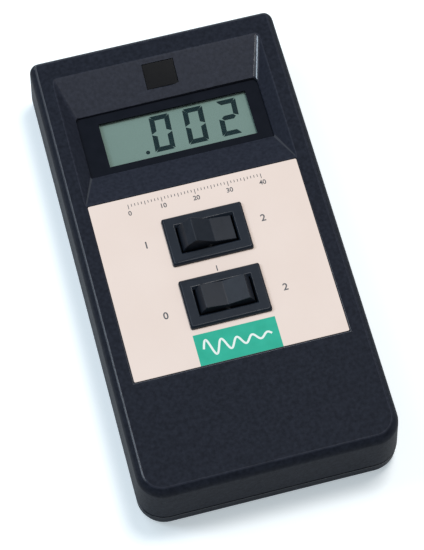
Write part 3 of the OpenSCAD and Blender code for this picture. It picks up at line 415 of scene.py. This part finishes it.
frontShell = roundedCopy("front_case", [
    # painted highlight: the pocket's rim takes the pale pocket strip
    {"where": onPocket, "width": shellForm["pocketRound"], "segments": 4,
     "below": shellForm["pocketTop"] - 1, "finish": shellFinish["pocket"]},
    # painted highlight: the ridge's rounding takes the paler recess finish as a light line
    {"where": lambda p: near(p.z, shellForm["faceHeight"]) and onOutline(p),
     "width": shellForm["ridgeRound"], "segments": 3, "finish": shellFinish["recess"]},
    {"where": lambda p: near(p.z, shellForm["flareHeight"]) and onOutline(p),
     "width": shellForm["flareRound"], "segments": 5, "sharper": 8, "finish": shellFinish["plain"]},
    # painted highlight: the upper right crease and both lower creases take the paler crease strip, the upper
    # left crease the recess finish
    {"where": lambda p: onCrease(p, 1, upper=True), "width": shellForm["creaseRound"],
     "segments": 4, "steep": True, "finish": shellFinish["crease"]},
    {"where": lambda p: onCrease(p, -1, upper=True), "width": shellForm["creaseRound"],
     "segments": 4, "steep": True, "finish": shellFinish["recess"]},
    {"where": lambda p: onCrease(p, math.copysign(1, p.x), upper=False),
     "width": shellForm["recessRound"], "segments": 3, "steep": True, "finish": shellFinish["crease"]},
    {"where": onRecess, "width": shellForm["recessRound"], "segments": 3, "steep": False,
     "finish": shellFinish["recess"]},
], cleaned=False)  # a clean-up here leaves a dark line across the upper slope
for face in frontShell.faces:  # painted highlight: a paler strip on the left ridge; painted light: the recess a little paler
    middle = face.calc_center_median() / mm
    if (middle.x < shellForm["leftRidge"] and middle.z > shellForm["faceHeight"] - shellForm["ridgeDepth"]
            and face.calc_area() < shellForm["ridgeArea"] * mm * mm):
        face.material_index = shellFinish["highlight"]
    # painted light: flat faces in the recess take the paler recess finish
    if (onRecess(middle) and middle.z < shellForm["faceHeight"] - shellForm["pocketDepth"]
            and face.material_index == shellFinish["plain"]):
        face.material_index = shellFinish["recess"]
finishPiece(frontShell, "frontShell", "casePlastic", "case", ["front_case"],
            extras=("caseWearAndHighlight", "recessPaintedLight", "creaseHighlight", "pocketHighlight"))

rearShell = roundedCopy("rear_case", [
    {"where": lambda p: near(p.z, shellForm["rearTop"]) and (abs(p.x) > shellForm["rearSide"]
                                                             or abs(p.y) > shellForm["rearEnd"]),
     "width": shellForm["partingRound"]},
])
finishPiece(rearShell, "rearShell", "casePlastic", "case", ["rear_case"],
            extras=("caseWearAndHighlight",))

doorPanel = roundedCopy("battery_door", [
    {"where": lambda p: (p.z < doorForm["underside"] and abs(p.x) < doorForm["gripSide"]
                         and p.y > doorForm["gripFrom"]), "width": doorForm["gripRound"]},
])
finishPiece(doorPanel, "doorPanel", "casePlastic", "door", ["battery_door"],
            extras=("caseWearAndHighlight",))
print("case made")


# Face label and its print

labelForm = {
    "width": 63.0, "height": 57.1, "middle": -8.8, "under": 24.2, "over": 24.5,
    "holeHalfWidth": 10.9, "holeHalfHeight": 6.6, "switchPlaces": (2.2, -18.2), "corner": 0.4,
}


# Film with two openings: a sheet is cut along their edges and the two faces inside taken out
def makeLabel(form):
    bm = bmesh.new()
    bmesh.ops.create_grid(bm, x_segments=1, y_segments=1, size=0.5)
    bmesh.ops.scale(bm, vec=(form["width"] * mm, form["height"] * mm, 1), verts=bm.verts)
    bmesh.ops.translate(bm, vec=(0, form["middle"] * mm, form["under"] * mm), verts=bm.verts)
    cuts = [((side * form["holeHalfWidth"], 0), (1, 0, 0)) for side in (-1, 1)]
    for place in form["switchPlaces"]:
        cuts += [((0, place + side * form["holeHalfHeight"]), (0, 1, 0)) for side in (-1, 1)]
    for (x, y), normal in cuts:
        cutThrough(bm, (x * mm, y * mm, 0), normal)
    holes = [face for face in bm.faces if abs(face.calc_center_median().x) < form["holeHalfWidth"] * mm
             and any(abs(face.calc_center_median().y - place * mm) < form["holeHalfHeight"] * mm
                     for place in form["switchPlaces"])]
    bmesh.ops.delete(bm, geom=holes, context="FACES")
    corners = [vert for vert in bm.verts if near(abs(vert.co.x / mm), form["width"] / 2)
               and near(abs(vert.co.y / mm - form["middle"]), form["height"] / 2)]
    bmesh.ops.bevel(bm, geom=corners, offset=form["corner"] * mm, offset_type="OFFSET", segments=4,
                    profile=0.5, affect="VERTICES", material=-1)
    thicken(bm, form["over"] - form["under"])
    return bm


finishPiece(makeLabel(labelForm), "labelFilm", "labelFilm", "case", ["face_label"])

# Ink lies a hair above the film; capShare is a figure's height as a share of the font's size
printForm = {"lift": 0.008, "thickness": 0.012, "capShare": 0.7, "bolder": 0.025}


# Flat block of ink between two corners, in millimetres
def inkBlock(bm, low, high):
    made = bmesh.ops.create_cube(bm, size=1)["verts"]
    base = labelForm["over"] + printForm["lift"]
    bmesh.ops.scale(bm, vec=((high[0] - low[0]) * mm, (high[1] - low[1]) * mm,
                             printForm["thickness"] * mm), verts=made)
    bmesh.ops.translate(bm, vec=((high[0] + low[0]) / 2 * mm, (high[1] + low[1]) / 2 * mm,
                                 (base + printForm["thickness"] / 2) * mm), verts=made)


# Plain figures as a flat mesh, centred on a place
def addFigures(bm, words, place, height):
    data = bpy.data.curves.new("figures", "FONT")
    data.body = words
    data.size = height * mm / printForm["capShare"]
    data.align_x = "CENTER"
    data.extrude = printForm["thickness"] / 2 * mm
    data.offset = height * printForm["bolder"] * mm
    writing = bpy.data.objects.new("figures", data)
    bpy.context.scene.collection.objects.link(writing)
    bpy.context.view_layer.update()
    mesh = bpy.data.meshes.new_from_object(writing.evaluated_get(bpy.context.evaluated_depsgraph_get()))
    bpy.data.objects.remove(writing)
    base = labelForm["over"] + printForm["lift"] + printForm["thickness"] / 2
    mesh.transform(Matrix.Translation((place[0] * mm, (place[1] - height / 2) * mm, base * mm)))
    bm.from_mesh(mesh)
    bpy.data.meshes.remove(mesh)


scaleForm = {
    "left": -20.0, "pitch": 1.0, "count": 41, "top": 17.6, "short": 0.85, "middle": 1.2, "long": 1.55,
    "line": 0.2, "figureHeight": 1.45, "figureGap": 0.6,
}
switchFigures = [  # figure, place, height
    ("1", (-17.9, 3.5), 2.15), ("2", (17.1, 3.5), 2.15), ("0", (-17.9, -19.6), 2.15),
    ("2", (17.5, -19.5), 2.15), ("1", (0, -8.8), 1.7),
]


# Tick scale and the figures beside the switches
def makePrint(form):
    bm = bmesh.new()
    for step in range(form["count"]):
        x = form["left"] + step * form["pitch"]
        reach = form["long"] if step % 10 == 0 else form["middle"] if step % 5 == 0 else form["short"]
        inkBlock(bm, (x - form["line"] / 2, form["top"] - reach), (x + form["line"] / 2, form["top"]))
        if step % 10 == 0:
            height = form["figureHeight"]
            addFigures(bm, str(step), (x, form["top"] - reach - form["figureGap"] - height / 2), height)
    for words, place, height in switchFigures:
        addFigures(bm, words, place, height)
    return bm


finishPiece(makePrint(scaleForm), "labelFigures", "darkInk", "case", weighted=False)

patchForm = {
    "low": (-12.1, -37.35), "high": (12.1, -27.65), "waveHeight": 2.9, "waveStart": -10.0, "waveEnd": 10.0,
    "turns": 4.5, "line": 0.62, "fade": 1.5, "steps": 180, "waveLift": 0.006, "waveThickness": 0.01,
}
patch = bmesh.new()
inkBlock(patch, patchForm["low"], patchForm["high"])
finishPiece(patch, "labelPatch", "greenInk", "case", weighted=False)


# Fading wave across the patch: a straight ribbon, bent by moving its points
def makeWave(form):
    bm = bmesh.new()
    bmesh.ops.create_grid(bm, x_segments=form["steps"], y_segments=1, size=0.5)
    middle = (form["low"][1] + form["high"][1]) / 2
    length = form["waveEnd"] - form["waveStart"]
    step = 0.0005  # share of the length over which the slope is taken

    def waveAt(share):
        fading = form["waveHeight"] * math.exp(-form["fade"] * share)
        return fading * math.sin(2 * math.pi * form["turns"] * share)

    for vert in bm.verts:
        share = vert.co.x + 0.5
        slope = (waveAt(share + step) - waveAt(share - step)) / (2 * step * length)
        side = (1 if vert.co.y > 0 else -1) * form["line"] / 2
        lean = math.sqrt(1 + slope * slope)
        vert.co.x = (form["waveStart"] + length * share - side * slope / lean) * mm
        vert.co.y = (middle + waveAt(share) + side / lean) * mm
        vert.co.z = (labelForm["over"] + printForm["lift"] + printForm["thickness"] + form["waveLift"]) * mm
    thicken(bm, form["waveThickness"])
    return bm


finishPiece(makeWave(patchForm), "labelWave", "whiteInk", "case", weighted=False)
print("label made")


# Display

displayForm = {
    "middle": (0.6, 41.2), "windowWidth": 44.9, "windowHeight": 14.5, "level": 18.06, "thickness": 0.02,
    "digitHeight": 12.15, "digitWidth": 6.15, "stroke": 1.55, "cornerGap": 0.05, "gap": 0.2, "slant": 0.06,
    "firstLeft": 14.6, "pitch": 10.35, "top": 0.75, "dotLeft": 11.75, "dotSize": 1.25, "dotSides": 20,
    "mergeWithin": 0.0001,
}
# Edges of the frame's opening: axis, place in the CAD node, place seen
openingEdges = [(0, -21.85, -21.67), (0, 23.05, 23.61), (1, 33.95, 33.51)]
squareForm = {"round": 0.08}
segmentsOf = {"0": "abcdef", "2": "abged"}
# How far a bar's end reaches past its corner, in half strokes: outer side, middle, inner side
barEnds = {"corner": (0.7, 0, -1), "joint": (0, -0.5, -1), "point": (-1, 0, -1)}


# One bar of a digit, its two ends cut slantwise or drawn to points; outer is the side it is longer on
def addBar(bm, start, end, form, outer, cuts):
    made = bmesh.ops.create_grid(bm, x_segments=1, y_segments=2, size=0.5)["verts"]
    along = (Vector(end) - Vector(start)).normalized()
    across = Vector((-along.y, along.x)) * outer
    for vert in made:
        first = vert.co.x < 0
        row = 1 - round(vert.co.y * 2)
        cut = cuts[0 if first else 1]
        reach = barEnds[cut][row] * form["stroke"] / 2 - form["cornerGap" if cut == "corner" else "gap"] / 2
        place = Vector(start) - along * reach if first else Vector(end) + along * reach
        place += across * (1 - row) * form["stroke"] / 2
        vert.co.x, vert.co.y = place
    return made


# Digits laid out flat in millimetres, then brought to size, place and thickness
def makeDigits(form, words):
    bm = bmesh.new()
    left = form["middle"][0] - form["windowWidth"] / 2
    top = form["middle"][1] + form["windowHeight"] / 2 - form["top"]
    half = form["stroke"] / 2
    width, height = form["digitWidth"], form["digitHeight"]
    corners = {"topLeft": (half, height - half), "topRight": (width - half, height - half),
               "left": (half, height / 2), "right": (width - half, height / 2),
               "footLeft": (half, half), "footRight": (width - half, half)}
    bars = {"a": ("topLeft", "topRight", 1, ("corner", "corner")),
            "b": ("right", "topRight", -1, ("joint", "corner")),
            "c": ("footRight", "right", -1, ("corner", "joint")),
            "d": ("footLeft", "footRight", -1, ("corner", "corner")),
            "e": ("footLeft", "left", 1, ("corner", "joint")),
            "f": ("left", "topLeft", 1, ("joint", "corner")),
            "g": ("left", "right", 1, ("point", "point"))}
    for place, word in enumerate(words):
        made = []
        for bar in segmentsOf[word]:
            start, end, outer, cuts = bars[bar]
            made += addBar(bm, corners[start], corners[end], form, outer, cuts)
        for vert in made:
            vert.co.x += vert.co.y * form["slant"] + left + form["firstLeft"] + place * form["pitch"]
            vert.co.y += top - height
    dot = bmesh.ops.create_circle(bm, cap_ends=True, segments=form["dotSides"],
                                  radius=form["dotSize"] / 2)["verts"]
    bmesh.ops.translate(bm, vec=(left + form["dotLeft"] + form["dotSize"] / 2,
                                 top - height + form["dotSize"] / 2, 0), verts=dot)
    bmesh.ops.scale(bm, vec=(mm, mm, mm), verts=bm.verts)
    bmesh.ops.translate(bm, vec=(0, 0, form["level"] * mm), verts=bm.verts)
    bmesh.ops.remove_doubles(bm, verts=bm.verts, dist=form["mergeWithin"] * mm)
    thicken(bm, form["thickness"])
    return bm


finishPiece(makeDigits(displayForm, "002"), "displayDigits", "segmentInk", "case",
            weighted=False)
bezel = roundedCopy("display_bezel", [])
for vert in bezel.verts:
    for axis, old, new in openingEdges:
        if near(vert.co[axis] / mm, old, 0.01):
            vert.co[axis] = new * mm
finishPiece(bezel, "displayFrame", "bezelPlastic", "case", ["display_bezel"])
square = roundedCopy("square_window", [{"where": lambda p: True, "width": squareForm["round"], "finish": 0}])
finishPiece(square, "darkSquare", "windowPlastic", "case", ["square_window"])
print("display made")


# Switches

switchForm = {
    "rimFoot": 24.45, "rimSide": 9.5, "cornerRound": 0.5, "rimRound": 0.14,
    "rockerFoot": 23.9, "rockerRound": 0.2,
}
for switch in ("mode", "power"):
    rim = roundedCopy(switch + "_switch_body", [
        {"where": lambda p: p.z > switchForm["rimFoot"] and abs(p.x) > switchForm["rimSide"],
         "width": switchForm["cornerRound"], "segments": 4, "steep": True, "finish": 0},
        # the top edges take the second, paler finish: partly wear, partly painted highlight
        {"where": lambda p: p.z > switchForm["rimFoot"], "width": switchForm["rimRound"], "steep": False}])
    finishPiece(rim, switch + "SwitchRim", "rimPlastic", "case",
                [switch + "_switch_body"], extras=("switchWearAndHighlight",))
    rocker = roundedCopy(switch + "_rocker", [
        {"where": lambda p: p.z > switchForm["rockerFoot"], "width": switchForm["rockerRound"],
         "segments": 3, "finish": 0}])
    finishPiece(rocker, switch + "Rocker", "switchPlastic", switch + "_paddle",
                [switch + "_rocker"])
print("switches made")


# Sensor jack, battery and the battery's leads

jackForm = {
    "height": 12.5, "radius": 2.4, "pitch": 0.79, "depth": 0.22, "cutsPerTurn": 6, "tipLength": 0.4,
    "tipRadius": 2.1, "hexFrom": 4, "hexRound": 0.18, "slack": 0.02,
}


def fromAxis(place):
    return math.hypot(place.x, place.z - jackForm["height"])


# Jack with a screw thread: the smooth barrel is cut into rings, whose points are pulled in
# along a helix
def threadJack(form):
    bm = roundedCopy("sensor_jack", [
        {"where": lambda p: fromAxis(p) > form["hexFrom"], "width": form["hexRound"], "finish": 0}])
    barrel = [vert.co.y / mm for vert in bm.verts
              if near(fromAxis(vert.co / mm), form["radius"], form["slack"])]
    foot, tip = min(barrel), max(barrel)
    cuts = round((tip - foot) / form["pitch"] * form["cutsPerTurn"])
    for cut in range(1, cuts):
        cutThrough(bm, (0, (foot + (tip - foot) * cut / cuts) * mm, 0), (0, 1, 0))
    for vert in bm.verts:
        place = vert.co / mm
        if near(fromAxis(place), form["radius"], form["slack"]) and place.y > foot - form["slack"] / 2:
            turn = (place.y - foot) / form["pitch"] - math.atan2(place.z - form["height"], place.x) / math.tau
            crest = abs(2 * (turn - math.floor(turn)) - 1)
            radius = form["radius"] - form["depth"] * (1 - crest)
            left = (tip - place.y) / form["tipLength"]
            if left < 1:
                radius = min(radius, form["tipRadius"] + (form["radius"] - form["tipRadius"]) * left)
            share = radius / fromAxis(place)
            vert.co.x *= share
            vert.co.z = (form["height"] + (place.z - form["height"]) * share) * mm
    return bm


finishPiece(threadJack(jackForm), "threadedJack", "turnedBrass", "case", ["sensor_jack"])

batteryForm = {"bandShare": 0.3, "cornerRound": 1.0}
batteryLow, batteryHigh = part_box("battery_case")
topSide = 1 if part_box("battery_terminals")[1][0] > batteryHigh[0] else -1  # the end with the terminals
bandWidth = (batteryHigh[0] - batteryLow[0]) * batteryForm["bandShare"]
bandEdge = batteryHigh[0] - bandWidth if topSide > 0 else batteryLow[0] + bandWidth
batteryCan = roundedCopy("battery_case", [
    {"where": lambda p: True, "width": batteryForm["cornerRound"], "segments": 4, "clamped": True,
     "finish": 0}])
cutThrough(batteryCan, (bandEdge, 0, 0), (1, 0, 0))
for face in batteryCan.faces:
    face.material_index = 1 if (face.calc_center_median().x - bandEdge) * topSide > 0 else 0
finishPiece(batteryCan, "batteryCan", "batteryJacket", "case", ["battery_case"],
            extras=("paleBand",))

batteryWires = roundedCopy("battery_leads", [])
wiresLow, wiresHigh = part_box("battery_leads")
betweenWires = (wiresLow[0] + wiresHigh[0]) / 2
for face in batteryWires.faces:  # one lead of the pair is dark
    face.material_index = 1 if face.calc_center_median().x < betweenWires else 0
finishPiece(batteryWires, "batteryWires", "redInsulation", "case", ["battery_leads"],
            extras=("darkInsulation",))
print("sensor jack, battery and its leads made")


# Moulded and dipped parts inside, edges eased

easing = {"segments": 3, "sharper": 40}
easedParts = {  # node, finish, slot, rounding
    "filmCapacitorDips": ("film_capacitors", "filmCoating", "film_coating", 0.6),
    "capacitorCans": ("electrolytic_capacitors", "canSleeve", "can_sleeve", 0.35),
    "converterBody": ("converter_chip", "chipPlastic", "chip_plastic", 0.15),
    "amplifierBodies": ("amplifier_chips", "chipPlastic", "chip_plastic", 0.12),
    "trimmerCases": ("trimmer_bodies", "trimmerPlastic", "trimmer_plastic", 0.15),
    "batteryFoam": ("battery_pad", "padFoam", "pad_foam", 0.8),
    "snapCover": ("snap_connector", "snapVinyl", "snap_vinyl", 0.5),
}
for name, (node, finish, slot, width) in easedParts.items():
    part = roundedCopy(node, [{**easing, "where": lambda p: True, "width": width, "clamped": True,
                               "finish": 0}])
    finishPiece(part, name, finish, "case", [node])
print("parts inside eased")


# Finishes of the CAD nodes that stay

nodeFinish = {
    "screwSteel": ("case_screws", "board_screws"),
    "turnedBrass": ("threaded_inserts", "gain_rotor", "zero_rotor", "mode_contact_arm",
                    "power_contact_arm", "jack_contact", "jack_nut"),
    "clearLens": ("display_lens",),
    "displayGlass": ("lcd_front_glass", "lcd_rear_glass"),
    "reflectorFoil": ("lcd_reflector",),
    "stripRubber": ("contact_strips",),
    "boardLaminate": ("main_board",),
    "platedMetal": ("converter_pins", "amplifier_pins", "battery_terminals", "snap_studs",
                    "mode_terminals", "power_terminals", "jack_washer"),
    "resistorCoat": ("resistors",),
    "pinSteel": ("mode_pivot_pin", "power_pivot_pin", "mode_plunger_spring", "power_plunger_spring"),
    "plungerPlastic": ("mode_plunger", "power_plunger"),
    "paleInsulation": ("switch_leads", "jack_lead"),
    "insulatorPlastic": ("jack_insulator",),
}
for finish, nodes in nodeFinish.items():
    for node in nodes:
        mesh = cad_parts[node].data
        mesh.materials.clear()
        mesh.materials.append(materials[finish])
print("CAD nodes finished")


# Floor

# Just below the rest face; it glows only where it is seen, reflected or seen through
floorForm = {
    "half": 3000, "level": -0.05, "colour": (0.88, 0.9, 0.9), "roughness": 0.9,
    "glow": 0.42, "glowColour": (0.82, 0.93, 1.0),
}


def makeFloor(form):
    bm = bmesh.new()
    bmesh.ops.create_grid(bm, x_segments=1, y_segments=1, size=form["half"] * mm)
    bmesh.ops.translate(bm, vec=(0, 0, form["level"] * mm), verts=bm.verts)
    mesh = bpy.data.meshes.new("floor")
    bm.to_mesh(mesh)
    bm.free()
    material, tree, shader = startMaterial("floorPaper", {
        "Base Color": (*form["colour"], 1), "Roughness": form["roughness"], "Specular IOR Level": 0.0,
        "Emission Color": (*form["glowColour"], 1)})
    ray = addNode(tree, "ShaderNodeLightPath")
    seenRay = addNode(tree, "ShaderNodeMath", operation="MAXIMUM")
    anyRay = addNode(tree, "ShaderNodeMath", operation="MAXIMUM")
    glow = addNode(tree, "ShaderNodeMath", {1: form["glow"]}, operation="MULTIPLY")
    tree.links.new(ray.outputs["Is Camera Ray"], seenRay.inputs[0])
    tree.links.new(ray.outputs["Is Glossy Ray"], seenRay.inputs[1])
    tree.links.new(seenRay.outputs[0], anyRay.inputs[0])
    tree.links.new(ray.outputs["Is Transmission Ray"], anyRay.inputs[1])
    tree.links.new(anyRay.outputs[0], glow.inputs[0])
    tree.links.new(glow.outputs[0], shader.inputs["Emission Strength"])
    mesh.materials.append(material)
    floor = bpy.data.objects.new("floor", mesh)
    bpy.context.scene.collection.objects.link(floor)


makeFloor(floorForm)
print("floor made")
